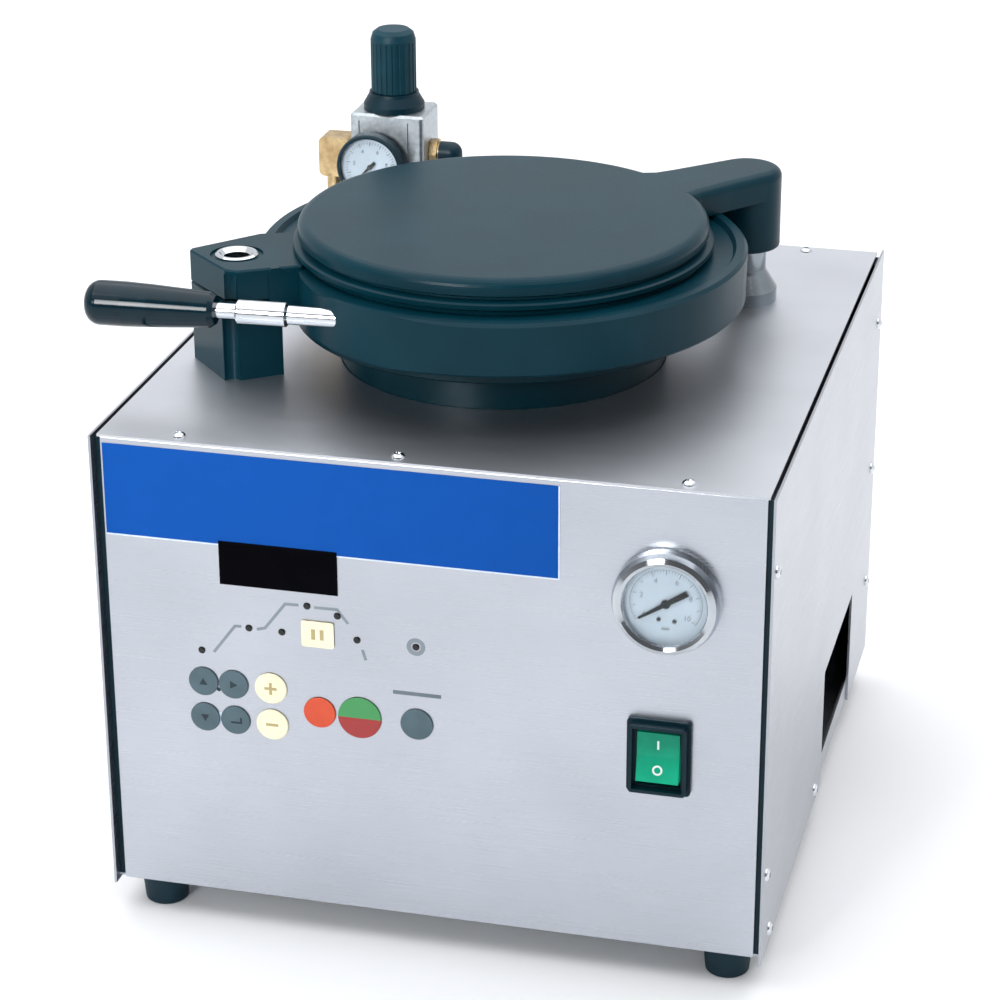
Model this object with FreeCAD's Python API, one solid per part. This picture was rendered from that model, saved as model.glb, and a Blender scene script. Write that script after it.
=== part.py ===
import FreeCAD, Part
import math
import os

os.makedirs("parts", exist_ok=True)

# Millimetres. Origin: on the bench under the middle of the housing. +X right, +Y to the rear, +Z up.

# Housing
housing_width = 400.0
housing_depth = 438.0
housing_height = 293.0
foot_height = 22.0
foot_bore_r = 5.0
sheet = 1.5
front_recess = 5.0
side_gap = 4.0
post_leg = 18.0
post_wall = 2.0
panel_lip = 24.0
half_width = housing_width / 2
half_depth = housing_depth / 2
floor_z = foot_height
plate_z = foot_height + housing_height
plate_under = plate_z - sheet
side_inner = half_width - sheet
front_face_y = -half_depth + front_recess
front_back_y = front_face_y + sheet
rear_face_y = half_depth - front_recess
rear_front_y = rear_face_y - sheet
panel_half = side_inner - side_gap
plate_half = side_inner - 2.5
base_flange_height = 14.0
slot_rows = 7
slot_centre = 60.0
slot_length = 60.0
slot_width = 5.0
slot_pitch = 14.0
slot_first_y = -60.0
cutout_front = 228.0
cutout_length = 122.0
cutout_height = 78.0

# Screws
screw_head_r = 4.2
screw_head_height = 2.4
screw_shank_r = 2.0
screw_shank = 9.0
m5_r = 2.5
m5_head_r = 4.2
m5_head = 3.0
m5_length = 14.0
foot_screw_length = 9.5
foot_screw_tip = floor_z + sheet - foot_screw_length
foot_socket_depth = 10.0
foot_inset_x = 24.0
foot_inset_y = 26.0
foot_points = [(sx * (half_width - foot_inset_x), sy * (half_depth - foot_inset_y))
               for sy in (-1, 1) for sx in (-1, 1)]
top_screw_front = 12.5
top_screw_rear = 13.5
top_screw_side = 51.0
top_screw_corner = 24.0
top_screw_middle = -18.0
top_screw_points = [(-half_width + top_screw_side, -half_depth + top_screw_front),
                    (top_screw_middle, -half_depth + top_screw_front),
                    (half_width - top_screw_side, -half_depth + top_screw_front),
                    (half_width - top_screw_side, half_depth - top_screw_rear),
                    (top_screw_middle, half_depth - top_screw_rear),
                    (-half_width + top_screw_corner, half_depth - top_screw_rear)]
side_screw_front = 9.0
side_screw_low_front = 26.0
side_screw_rear = 16.0
side_screw_middle = -19.3
side_screw_low = 8.2
side_screw_drop = 46.3
side_screw_mid = 140.9
side_screw_points = [(-half_depth + side_screw_front, housing_height - side_screw_drop),
                     (-half_depth + side_screw_front, 54.0), (-half_depth + side_screw_low_front, side_screw_low),
                     (side_screw_middle, side_screw_low), (half_depth - side_screw_rear, side_screw_mid),
                     (half_depth - side_screw_rear, 55.8),
                     (half_depth - side_screw_rear, housing_height - side_screw_drop)]

# Vessel, lock ring and lid share one upright axis
vessel_x = -2.0
vessel_y = -26.0
vessel_outer_r = 100.0
vessel_wall = 8.0
vessel_inner_r = vessel_outer_r - vessel_wall
vessel_depth = 190.0
vessel_floor = 10.0
rim_outer_r = 117.0
flange_r = 127.0
flange_bottom = plate_z + 26.0
flange_top = plate_z + 37.0
ring_r = 148.0
ring_gap = 0.35
ring_bottom = flange_top + ring_gap
ring_height = 32.65
ring_top = ring_bottom + ring_height
rim_fit = 0.08
rim_top = ring_top
relief_r = 120.0
relief_from = 214.0
relief_to = 277.8
ring_recess_r = 139.0
ring_recess = 3.0
lid_bottom = ring_top + ring_gap
lid_height = 17.65
lid_top = lid_bottom + lid_height
lid_r = 124.5
lid_bead_r = lid_r + 1.8
lid_lip_r = lid_r + 2.8
lid_neck_r = lid_r - 3.5
lid_round = 6.0
seal_inner_r = vessel_inner_r + 4.0
seal_width = 8.0
seal_outer_r = seal_inner_r + seal_width
seal_depth = 5.0
vessel_bottom = flange_top - vessel_depth
skirt_inset = 22.0
skirt_r = vessel_outer_r - skirt_inset
skirt_wall = 2.5
skirt_foot = 12.0
heater_wall = 3.0
heater_low = 30.0
heater_height = 65.0

# Hinge post and arm of the lid
post_x = 124.5
post_y = 104.0
post_r = 11.0
post_neck_r = 13.5
post_neck_z = 20.0
post_foot_r = 21.0
post_foot_height = 8.0
post_spigot_r = 8.0
boss_r = 22.0
boss_bottom = plate_z + 36.0
boss_rounding = 2.0
arm_rounding = 6.0
hinge_fit = 0.05
post_thread_r = 6.0
post_nut_r = 10.4
post_nut_height = 10.0
post_top = lid_top - 9.0
post_bottom = plate_under - 16.0

# Ear of the lock ring with its steel bush, and the lock block under it
ear_bush_x = -152.0
ear_bush_y = -86.0
ear_bush_r = 13.0
ear_bush_hole_r = 8.0
ear_recess_r = 16.0
ear_height = 19.0
ear_core_r = rim_outer_r + 4.0
ear_bottom = ring_top - ear_height
ear_front = (ear_bush_x + 6.0, ear_bush_y - 33.0)
ear_left = (ear_bush_x - 32.0, ear_bush_y + 2.0)
ear_rear = (ear_bush_x + 1.4, ear_bush_y + 40.5)
ear_right = (ear_bush_x + 44.0, ear_bush_y - 11.5)
block_front = (ear_bush_x + 2.5, ear_bush_y - 33.5)
block_left = (ear_bush_x - 32.5, ear_bush_y + 4.5)
block_right = (ear_bush_x + 31.5, ear_bush_y - 12.5)
block_gap = 1.5
block_ring_gap = 0.4
block_top = ear_bottom - block_gap
block_screw_points = [(ear_bush_x - 12.0, ear_bush_y - 6.0), (ear_bush_x + 4.0, ear_bush_y + 8.0)]
corner_cut = 5.0
corner_groove_r = 5.5
corner_groove_drop = 3.0

# Lever that turns the lock ring
lever_z = plate_z + 56.0
lever_start = (ear_bush_x - 71.5, ear_bush_y - 64.6)
lever_angle = 2.65
grip_length = 79.0
grip_r_outer = 13.4
grip_r_inner = 10.6
grip_nose = 9.0
rod_thin_r = 4.6
rod_thick_r = 7.2
rod_end_r = 5.6
rod_start = 14.0
rod_thin_end = 92.0
rod_thick_end = 123.0
rod_tip = 162.0

# Front panel fittings: across from the left edge, or for the gauge and switch
# from the right edge, and down from the top edge
gauge_side = 60.2
gauge_drop = 68.2
gauge_x = half_width - gauge_side
gauge_z = plate_z - gauge_drop
gauge_r = 31.0
switch_side = 63.2
switch_drop = 166.8
switch_x = half_width - switch_side
switch_z = plate_z - switch_drop
switch_frame = (37.5, 47.0)
display_box = (75.0, 146.5, 60.0, 87.5)
display_step = 2.0
label_box = (6.5, 277.7, 5.5, 63.0)
label_thickness = 0.3
grey_key_r = 9.15
cream_key_r = 9.9
stop_key_r = 9.8
start_key_r = 13.2
pressure_key_r = 9.9
square_key_size = (19.7, 16.5)
key_proud = 1.2
key_travel = 0.5
key_clearance = 0.15
key_stem_r = 2.9
key_hole_r = 3.0
led_r = 2.2
led_proud = 0.9

# Gauge on the front panel
spindle_r = 1.0
spindle_length = 4.0
spindle_fit = 0.06
gauge_proud = 12.0
gauge_front_y = front_face_y - gauge_proud
dial_y = front_face_y - 6.0
lens_front_y = front_face_y - 9.4
case_wall_r = gauge_r - 2.6
dial_r = gauge_r - 4.6
case_depth = 22.0
gauge_stem_r = 6.0
gauge_square = 14.0
clamp_reach = 40.0
lens_thickness = 1.5
front_needle = (18.5, 14.5, 3.6)
front_needle_angle = -33.0

# Mains rocker switch
rocker_half_width = 12.4
rocker_half_height = 15.2
rocker_pivot_y = front_face_y + 3.0
rocker_depth = 7.6
rocker_tilt = 6.0
rocker_rise = rocker_half_height * math.tan(math.radians(rocker_tilt))
rocker_sweep_r = math.hypot(rocker_half_height, rocker_depth + rocker_rise)
switch_body_half = (15.0, 20.0)
switch_body_depth = 24.0

# Regulator at the left rear of the top plate
reg_x = -half_width + 68.8
reg_y = half_depth - 34.0
reg_half_x = 25.5
reg_half_y = 20.0
reg_port_z = plate_z + 57.5
reg_body_bottom = reg_port_z - 22.0
reg_bottom = plate_z + 14.0
reg_top = plate_z + 86.5
port_r = 6.5
knob_r = 15.2
knob_top = plate_z + 141.0
collar_top = plate_z + 98.5
reg_gauge_x = reg_x - 8.3
reg_gauge_z = plate_z + 53.5
reg_gauge_r = 22.7
reg_gauge_reach = 16.0
reg_needle = (12.0, 5.0, 2.4)
reg_needle_angle = -45.0
reg_gauge_face_y = reg_y - reg_half_y - reg_gauge_reach
hose_r = 7.4
outlet_reach = 6.6
tube_r = 4.0
tube_wall = 1.25
tube_x = reg_x + reg_half_x + 14.2
tube_y = reg_y
bulkhead_r = 6.0
bulkhead_nut_r = 9.5
bracket_sheet = 2.0
bracket_half = 20.0
bracket_foot = 26.0
bracket_rise = 16.0

# Inside the housing
inlet_x = -half_width + 70.0
inlet_z = foot_height + 40.0
inlet_half_x = 14.0
inlet_half_z = 10.0
supply_side = 23.5
supply_rear = 32.5
supply_size = (70.0, 95.0, 34.0)
valve_x = -60.0
valve_rear = 47.5
board_gap = 3.0
board_thickness = 1.6
board_box = (50.0, 210.0, 53.0, 193.0)
stud_inset = 5.0
stud_row_drop = 18.0
stud_r = 2.0

up = FreeCAD.Vector(0, 0, 1)
along_x = FreeCAD.Vector(1, 0, 0)
along_y = FreeCAD.Vector(0, 1, 0)


def box(x0, x1, y0, y1, z0, z1):
    return Part.makeBox(x1 - x0, y1 - y0, z1 - z0, FreeCAD.Vector(x0, y0, z0))


def rod(x, y, z0, z1, r):
    return Part.makeCylinder(r, z1 - z0, FreeCAD.Vector(x, y, z0), up)


def rod_x(x0, x1, y, z, r):
    return Part.makeCylinder(r, x1 - x0, FreeCAD.Vector(x0, y, z), along_x)


def rod_y(x, y0, y1, z, r):
    return Part.makeCylinder(r, y1 - y0, FreeCAD.Vector(x, y0, z), along_y)


def cone(x, y, z0, z1, r0, r1):
    return Part.makeCone(r0, r1, z1 - z0, FreeCAD.Vector(x, y, z0), up)


def turned(outline, x, y):
    """Solid of revolution about an upright axis from (radius, height) points."""
    points = [FreeCAD.Vector(r, 0, z) for r, z in outline]
    face = Part.Face(Part.makePolygon(points + points[:1]))
    solid = face.revolve(FreeCAD.Vector(0, 0, 0), up, 360)
    solid.translate(FreeCAD.Vector(x, y, 0))
    return solid


def turned_y(outline, x, z):
    """Solid of revolution about a front-to-rear axis from (radius, y) points."""
    points = [FreeCAD.Vector(r, y, 0) for r, y in outline]
    face = Part.Face(Part.makePolygon(points + points[:1]))
    solid = face.revolve(FreeCAD.Vector(0, 0, 0), along_y, 360)
    solid.translate(FreeCAD.Vector(x, 0, z))
    return solid


def prism(points, z0, z1):
    """Upright prism on a plan outline."""
    corners = [FreeCAD.Vector(x, y, z0) for x, y in points]
    face = Part.Face(Part.makePolygon(corners + corners[:1]))
    return face.extrude(FreeCAD.Vector(0, 0, z1 - z0))


def plate_y(points, y0, y1):
    """Plate standing upright, drawn in x and z, thick along y."""
    corners = [FreeCAD.Vector(x, y0, z) for x, z in points]
    face = Part.Face(Part.makePolygon(corners + corners[:1]))
    return face.extrude(FreeCAD.Vector(0, y1 - y0, 0))


def joined(shapes):
    return shapes[0].fuse(shapes[1:]).removeSplitter()


def without(shape, tools):
    return shape.cut(tools)


def edges_at(shape, height, tolerance=0.01):
    return [e for e in shape.Edges if e.BoundBox.ZMin > height - tolerance
            and e.BoundBox.ZMax < height + tolerance]


def upright_edges(shape, points, tolerance=0.05):
    found = []
    for edge in shape.Edges:
        low = edge.BoundBox
        if low.ZLength < 1.0 or low.XLength > tolerance or low.YLength > tolerance:
            continue
        for x, y in points:
            if abs(low.XMin - x) < tolerance and abs(low.YMin - y) < tolerance:
                found.append(edge)
    return found


def save(shape, name):
    shape.exportStep("parts/" + name + ".step")


def save_group(shapes, name):
    Part.makeCompound(shapes).exportStep("parts/" + name + ".step")


def panel_x(distance):
    return distance - half_width


def panel_z(drop):
    return plate_z - drop


def dome_screw(head_r, head_height, shank_r, shank_length):
    """Domed screw with its head's underside at height zero, shank down."""
    outline = [(0, -shank_length), (shank_r, -shank_length), (shank_r, 0), (head_r, 0)]
    steps = 5
    for step in range(1, steps):
        angle = math.pi / 2 * step / steps
        outline.append((head_r * math.cos(angle), head_height * math.sin(angle)))
    outline.append((0, head_height))
    screw = turned(outline, 0, 0)
    socket = Part.makeCylinder(head_r * 0.38, head_height * 0.45,
                               FreeCAD.Vector(0, 0, head_height * 0.6), up)
    return screw.cut(socket)


def placed(shape, x, y, z, axis=None, angle=0):
    copy = shape.copy()
    if axis is not None:
        copy.rotate(FreeCAD.Vector(0, 0, 0), axis, angle)
    copy.translate(FreeCAD.Vector(x, y, z))
    return copy


def base_plate():
    pan = box(-side_inner, side_inner, front_back_y, rear_front_y, floor_z, floor_z + sheet)
    left = box(-side_inner, -side_inner + sheet, front_back_y + post_leg, rear_front_y - post_leg,
               floor_z, floor_z + base_flange_height)
    right = placed(left, 2 * side_inner - sheet, 0, 0)
    shape = joined([pan, left, right])
    tools = [rod(x, y, 0, floor_z + 5, m5_r) for x, y in foot_points]
    for row in range(slot_rows):
        for side in (-1, 1):
            x = side * slot_centre
            y = slot_first_y + row * slot_pitch
            tools.append(box(x - slot_length / 2, x + slot_length / 2, y, y + slot_width,
                             floor_z - 1, floor_z + sheet + 1))
    for y, z in side_screw_points:
        tools.append(rod_x(-half_width - 1, half_width + 1, y, foot_height + z, screw_shank_r))
    return without(shape, tools)


def corner_posts():
    posts = []
    for sx in (-1, 1):
        for sy in (-1, 1):
            x_out = sx * side_inner
            x_in = sx * (side_inner - post_leg)
            x_web = sx * (side_inner - post_wall)
            y_out = front_back_y if sy < 0 else rear_front_y
            y_in = y_out - sy * post_leg
            y_web = y_out - sy * post_wall
            z0 = floor_z + sheet
            z1 = plate_under - sheet
            leg_a = box(min(x_out, x_web), max(x_out, x_web), min(y_out, y_in), max(y_out, y_in), z0, z1)
            leg_b = box(min(x_out, x_in), max(x_out, x_in), min(y_out, y_web), max(y_out, y_web), z0, z1)
            posts.append(joined([leg_a, leg_b]))
    tools = [rod_x(-half_width - 1, half_width + 1, y, foot_height + z, screw_shank_r)
             for y, z in side_screw_points]
    return [p.cut(tools) for p in posts]


def front_panel():
    sheet_face = box(-panel_half, panel_half, front_face_y, front_back_y, floor_z, plate_under)
    top_lip = box(-panel_half, panel_half, front_face_y, front_face_y + panel_lip,
                  plate_under - sheet, plate_under)
    shape = joined([sheet_face, top_lip])
    shape = shape.makeFillet(1.2, [e for e in shape.Edges
                                   if e.BoundBox.XLength > 100 and e.BoundBox.YMax < front_face_y + 0.01
                                   and e.BoundBox.ZMin > plate_under - 0.01])
    studs = []
    for x, z in board_stud_points():
        studs.append(rod_y(x, front_back_y - 0.5, front_back_y + board_gap, z, stud_r + 1.5))
        studs.append(rod_y(x, front_back_y, front_back_y + board_gap + 5.0, z, stud_r))
    shape = joined([shape] + studs)
    tools = [rod_y(gauge_x, front_face_y - 1, front_back_y + 1, gauge_z, case_wall_r + 0.1)]
    half_w, half_h = switch_body_half
    tools.append(box(switch_x - half_w, switch_x + half_w, front_face_y - 1, front_back_y + 1,
                     switch_z - half_h, switch_z + half_h))
    tools.append(display_opening(front_face_y - 1, front_back_y + 1))
    for name, x, z, r in round_keys():
        tools.append(rod_y(x, front_face_y - 1, front_back_y + 1, z, key_hole_r))
    square_x, square_z = square_key_centre()
    tools.append(rod_y(square_x, front_face_y - 1, front_back_y + 1, square_z, key_hole_r))
    for x, z in led_points():
        tools.append(rod_y(x, front_face_y - 1, front_back_y + 1, z, led_r))
    for x, y in top_screw_points:
        if y < 0:
            tools.append(rod(x, y, plate_under - 10, plate_z + 1, screw_shank_r))
    return shape.cut(tools)


def rear_panel():
    sheet_face = box(-panel_half, panel_half, rear_front_y, rear_face_y, floor_z, plate_under)
    top_lip = box(-panel_half, panel_half, rear_face_y - panel_lip, rear_face_y,
                  plate_under - sheet, plate_under)
    shape = joined([sheet_face, top_lip])
    tools = [box(inlet_x - inlet_half_x, inlet_x + inlet_half_x, rear_front_y - 1, rear_face_y + 1,
                 inlet_z - inlet_half_z, inlet_z + inlet_half_z)]
    for x, y in top_screw_points:
        if y > 0:
            tools.append(rod(x, y, plate_under - 10, plate_z + 1, screw_shank_r))
    tools.append(rod(tube_x, tube_y, plate_under - 10, plate_z, bulkhead_nut_r + 1.0))
    return shape.cut(tools)


def side_panel(side):
    x_out = side * half_width
    x_in = side * side_inner
    panel = box(min(x_out, x_in), max(x_out, x_in), -half_depth, half_depth, floor_z - 2.0, plate_z)
    tools = [rod_x(-half_width - 1, half_width + 1, y, foot_height + z, screw_shank_r)
             for y, z in side_screw_points]
    if side > 0:
        start = cutout_front - half_depth
        tools.append(box(half_width - 5, half_width + 1, start, start + cutout_length,
                         floor_z - 3, floor_z + cutout_height))
    return panel.cut(tools)


def top_plate():
    plate = box(-plate_half, plate_half, front_face_y - 1.2, rear_face_y, plate_under, plate_z)
    tools = [rod(vessel_x, vessel_y, plate_under - 1, plate_z + 1, vessel_outer_r + 0.5)]
    tools += [rod(x, y, plate_under - 1, plate_z + 1, screw_shank_r) for x, y in top_screw_points]
    tools += [rod(x, y, plate_under - 1, plate_z + 1, m5_r) for x, y in block_screw_points]
    tools.append(rod(post_x, post_y, plate_under - 1, plate_z + 1, post_spigot_r))
    tools.append(rod(tube_x, tube_y, plate_under - 1, plate_z + 1, bulkhead_r))
    return plate.cut(tools)


def feet():
    shapes = []
    for x, y in foot_points:
        foot = cone(x, y, 0, foot_height, 13.0, 15.0)
        foot = foot.makeFillet(1.5, edges_at(foot, 0))
        foot = foot.cut([rod(x, y, -1, foot_socket_depth, foot_bore_r),
                         rod(x, y, foot_screw_tip, foot_height + 1, m5_r)])
        shapes.append(foot)
    return shapes


def pressure_vessel():
    floor_top = vessel_bottom + vessel_floor
    outline = [(0, vessel_bottom), (vessel_outer_r - 14, vessel_bottom), (vessel_outer_r - 4, vessel_bottom + 4),
               (vessel_outer_r, vessel_bottom + 14), (vessel_outer_r, flange_bottom),
               (flange_r - 1.0, flange_bottom), (flange_r, flange_bottom + 1.0),
               (flange_r, flange_top - 1.0), (flange_r - 1.0, flange_top),
               (rim_outer_r, flange_top), (rim_outer_r, rim_top - 1.0), (rim_outer_r - 1.0, rim_top),
               (vessel_inner_r + 2.0, rim_top), (vessel_inner_r, rim_top - 2.0),
               (vessel_inner_r, floor_top + 10), (vessel_inner_r - 10, floor_top), (0, floor_top)]
    return turned(outline, vessel_x, vessel_y)


def lock_ring():
    """Ring with a shallow step on top, a side ground back for the lever, and the ear."""
    inner_r = rim_outer_r + rim_fit
    recess = ring_top - ring_recess
    ring = turned([(inner_r, ring_bottom), (ring_r - 2.2, ring_bottom), (ring_r - 0.6, ring_bottom + 1.6),
                   (ring_r, ring_top - 2.0), (ring_r - 2.0, ring_top), (ring_recess_r + 2.0, ring_top),
                   (ring_recess_r, recess), (inner_r + 6.0, recess), (inner_r + 3.0, ring_top),
                   (inner_r, ring_top)], vessel_x, vessel_y)
    ring = ring.cut(ring_relief())
    inner = (vessel_x - 100.0, vessel_y - 60.0)
    back_inner = (vessel_x - 112.0, vessel_y - 6.0)
    ear = prism([ear_front, ear_right, inner, back_inner, ear_rear, ear_left], ear_bottom, ring_top)
    ear = ear.makeChamfer(corner_cut, upright_edges(ear, [ear_front]))
    ear = ear.makeFillet(4.0, upright_edges(ear, [ear_left]))
    ear = ear.makeChamfer(1.0, [e for e in edges_at(ear, ring_top)
                                if e.BoundBox.Center.x < ear_right[0] - 4.0])
    ear = ear.cut(rod(vessel_x, vessel_y, ring_bottom - 1, ring_top + 1, ear_core_r))
    shape = ring.fuse(ear).removeSplitter()
    tools = [rod(ear_bush_x, ear_bush_y, ring_bottom - 1, ring_top + 1, ear_bush_r),
             rod(ear_bush_x, ear_bush_y, ring_top - 1.2, ring_top + 1, ear_recess_r), lever_bore(),
             corner_groove(ear_bottom - 1, ring_top - corner_groove_drop)]
    return shape.cut(tools)


def ring_relief():
    """What is ground off the ring's front left, along a smaller circle set to one side."""
    offset = ring_r - relief_r
    turn = math.radians(relief_to)
    centre = (vessel_x + offset * math.cos(turn), vessel_y + offset * math.sin(turn))
    reach = 2 * ring_r
    wedge = [(vessel_x, vessel_y)]
    for step in range(3):
        angle = math.radians(relief_from + (relief_to - relief_from) * step / 2)
        wedge.append((vessel_x + reach * math.cos(angle), vessel_y + reach * math.sin(angle)))
    return prism(wedge, ring_bottom - 1, ring_top + 1).cut(
        rod(centre[0], centre[1], ring_bottom - 2, ring_top + 2, relief_r))


def corner_groove(z0, z1):
    """Upright groove down the front corner of the ear and of the block under it."""
    return rod(ear_front[0] - 0.5, ear_front[1] + 0.5, z0, z1, corner_groove_r)


def ear_bush():
    outline = [(ear_bush_hole_r, ear_bottom), (ear_bush_r, ear_bottom), (ear_bush_r, ring_top + 0.2),
               (ear_bush_r - 1.0, ring_top + 1.0), (ear_bush_hole_r + 2.5, ring_top + 1.0),
               (ear_bush_hole_r, ring_top - 1.5)]
    return turned(outline, ear_bush_x, ear_bush_y)


def lever_placed(shape):
    """Shapes drawn along +X from the lever's outer end, moved to the lever's axis."""
    shape.rotate(FreeCAD.Vector(0, 0, 0), up, lever_angle)
    shape.translate(FreeCAD.Vector(lever_start[0], lever_start[1], lever_z))
    return shape


def turned_x(outline):
    points = [FreeCAD.Vector(x, r, 0) for x, r in outline]
    face = Part.Face(Part.makePolygon(points + points[:1]))
    return face.revolve(FreeCAD.Vector(0, 0, 0), along_x, 360)


def lever_bore():
    return lever_placed(turned_x([(rod_thick_end, 0), (rod_thick_end, rod_end_r), (rod_tip, rod_end_r),
                                  (rod_tip, 0)]))


def lever_rod():
    outline = [(rod_start, 0), (rod_start, rod_thin_r - 1.0), (rod_start + 1.0, rod_thin_r),
               (rod_thin_end, rod_thin_r), (rod_thin_end, rod_thick_r - 0.8),
               (rod_thin_end + 0.8, rod_thick_r), (rod_thick_end - 1.5, rod_thick_r),
               (rod_thick_end, rod_end_r), (rod_tip, rod_end_r), (rod_tip, 0)]
    return lever_placed(turned_x(outline))


def lever_grip():
    """Moulded grip: rounded nose, broad outer part and a long taper towards the ring."""
    outline = [(0, 0)]
    steps = 8
    for step in range(1, steps + 1):
        angle = math.pi / 2 * step / steps
        outline.append((grip_nose * (1 - math.cos(angle)),
                        grip_r_outer - grip_nose + grip_nose * math.sin(angle)))
    outline += [(grip_length * 0.3, grip_r_outer), (grip_length * 0.5, grip_r_outer - 0.6),
                (grip_length * 0.76, grip_r_inner + 1.0), (grip_length - 3.0, grip_r_inner),
                (grip_length, grip_r_inner - 2.0), (grip_length, rod_thin_r),
                (rod_start, rod_thin_r), (rod_start, 0)]
    return lever_placed(turned_x(outline))


def lock_block():
    """Block on the plate that stands right under the ear and clears the ring."""
    rear = (block_left[0] + block_right[0] - block_front[0], block_left[1] + block_right[1] - block_front[1])
    block = prism([block_front, block_right, rear, block_left], plate_z, block_top)
    block = block.makeChamfer(corner_cut - 1.0, upright_edges(block, [block_front]))
    block = block.makeFillet(3.0, upright_edges(block, [block_left]))
    block = block.makeChamfer(0.8, edges_at(block, block_top))
    tools = [rod(vessel_x, vessel_y, ring_bottom - 1.5, block_top + 1, ring_r + block_ring_gap),
             corner_groove(plate_z - 1, block_top + 1)]
    tools += [rod(x, y, plate_z - 1, plate_under + m5_length, m5_r) for x, y in block_screw_points]
    return block.cut(tools)


def m5_screw(length):
    """Cap screw with its head below height zero and its shank above."""
    shape = joined([rod(0, 0, -m5_head, 0, m5_head_r), rod(0, 0, -1.0, length, m5_r)])
    socket = prism(hexagon_points(0, 0, 2.3), -m5_head - 1, -m5_head + 1.6)
    return shape.cut(socket)


def mounting_screws():
    """Two screws up into the lock block, and four down through the pan into the feet."""
    shapes = [placed(m5_screw(foot_screw_length), x, y, floor_z + sheet, along_x, 180)
              for x, y in foot_points]
    shapes += [placed(m5_screw(m5_length), x, y, plate_under) for x, y in block_screw_points]
    return shapes


def lid_casting():
    """Stepped cast lid with its swept arm and the boss over the hinge post."""
    rounding = []
    steps = 6
    for step in range(steps + 1):
        angle = math.pi / 2 * step / steps
        rounding.append((lid_r - lid_round + lid_round * math.cos(angle),
                         lid_top - lid_round + lid_round * math.sin(angle)))
    outline = [(0, lid_bottom), (lid_lip_r - 1.5, lid_bottom), (lid_lip_r, lid_bottom + 0.8),
               (lid_lip_r, lid_bottom + 3.4), (lid_lip_r - 1.4, lid_bottom + 4.2),
               (lid_neck_r, lid_bottom + 5.2), (lid_neck_r, lid_bottom + 6.4),
               (lid_r, lid_bottom + 8.2)] + rounding + [(0, lid_top)]
    disc = turned(outline, vessel_x, vessel_y)
    arm = lid_arm()
    boss = rod(post_x, post_y, boss_bottom, lid_bottom + 0.5, boss_r)
    boss = boss.makeFillet(boss_rounding, edges_at(boss, boss_bottom))
    shape = joined([disc, arm, boss])
    bore = rod(post_x, post_y, boss_bottom - 1, post_top + ring_gap, post_r + hinge_fit)
    return shape.cut([seal_ring(seal_depth), bore])


def lid_arm():
    """Arm from the lid to the post, flared where it leaves the lid, rounded along its top."""
    dx, dy = post_x - vessel_x, post_y - vessel_y
    reach = math.hypot(dx, dy)
    ux, uy = dx / reach, dy / reach

    def at(along, across):
        return (vessel_x + ux * along - uy * across, vessel_y + uy * along + ux * across)

    far_side = [at(reach, boss_r), at(lid_r + 14, boss_r + 1.0), at(lid_r + 2, boss_r + 2.0),
                at(lid_r - 8, boss_r + 7.5), at(lid_r - 20, boss_r + 15.0)]
    near_side = [at(lid_r - 20, -boss_r - 12.0), at(lid_r + 2, -boss_r - 6.3), at(lid_r + 26, -boss_r - 3.0),
                 at(reach, -boss_r)]
    web = prism(far_side + near_side, lid_bottom, lid_top)
    end = rod(post_x, post_y, lid_bottom, lid_top, boss_r)
    arm = joined([web, end])
    arm = arm.cut(rod(vessel_x, vessel_y, lid_bottom - 1, lid_top + 1, lid_neck_r - 14))
    middle = FreeCAD.Vector(vessel_x, vessel_y, lid_top)
    rim = [e for e in edges_at(arm, lid_top) if (e.BoundBox.Center - middle).Length > lid_neck_r - 6]
    return arm.makeFillet(arm_rounding, rim)


def seal_ring(depth):
    outer = rod(vessel_x, vessel_y, lid_bottom, lid_bottom + depth, seal_outer_r)
    return outer.cut(rod(vessel_x, vessel_y, lid_bottom - 1, lid_bottom + depth + 1, seal_inner_r))


def hinge_post():
    """Turned post: thread and spigot through the plate, bell foot, neck and journal."""
    shoulder = boss_bottom - ring_gap
    outline = [(0, post_bottom), (post_thread_r, post_bottom), (post_thread_r, plate_under - 2.0),
               (post_spigot_r, plate_under - 1.0), (post_spigot_r, plate_z), (post_foot_r, plate_z),
               (post_foot_r, plate_z + post_foot_height), (post_neck_r + 0.8, plate_z + post_neck_z - 1.0),
               (post_neck_r, plate_z + post_neck_z + 1.0), (post_neck_r, shoulder), (post_r, shoulder),
               (post_r, post_top - 1.0), (post_r - 1.0, post_top), (0, post_top)]
    return turned(outline, post_x, post_y)


def post_nut():
    washer_bottom = plate_under - 2.0
    nut = prism(hexagon_points(post_x, post_y, post_nut_r), washer_bottom - post_nut_height, washer_bottom)
    washer = rod(post_x, post_y, washer_bottom, plate_under, post_nut_r + 2.5)
    return joined([nut, washer]).cut(hinge_post())


def hexagon_points(x, y, across):
    return [(x + across * math.cos(math.pi / 3 * step), y + across * math.sin(math.pi / 3 * step))
            for step in range(6)]


# Keys of the front panel
def round_keys():
    return [("key_program_up", panel_x(62.2), panel_z(152.3), grey_key_r),
            ("key_program_right", panel_x(80.8), panel_z(152.3), grey_key_r),
            ("key_program_down", panel_x(62.4), panel_z(175.8), grey_key_r),
            ("key_program_enter", panel_x(81.2), panel_z(175.8), grey_key_r),
            ("key_value_plus", panel_x(103.9), panel_z(152.0), cream_key_r),
            ("key_value_minus", panel_x(104.1), panel_z(175.8), cream_key_r),
            ("key_stop", panel_x(133.6), panel_z(164.3), stop_key_r),
            ("key_start", panel_x(158.0), panel_z(164.8), start_key_r),
            ("key_pressure", panel_x(192.7), panel_z(164.8), pressure_key_r)]


def square_key_centre():
    return panel_x(133.8), panel_z(113.4)


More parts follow.
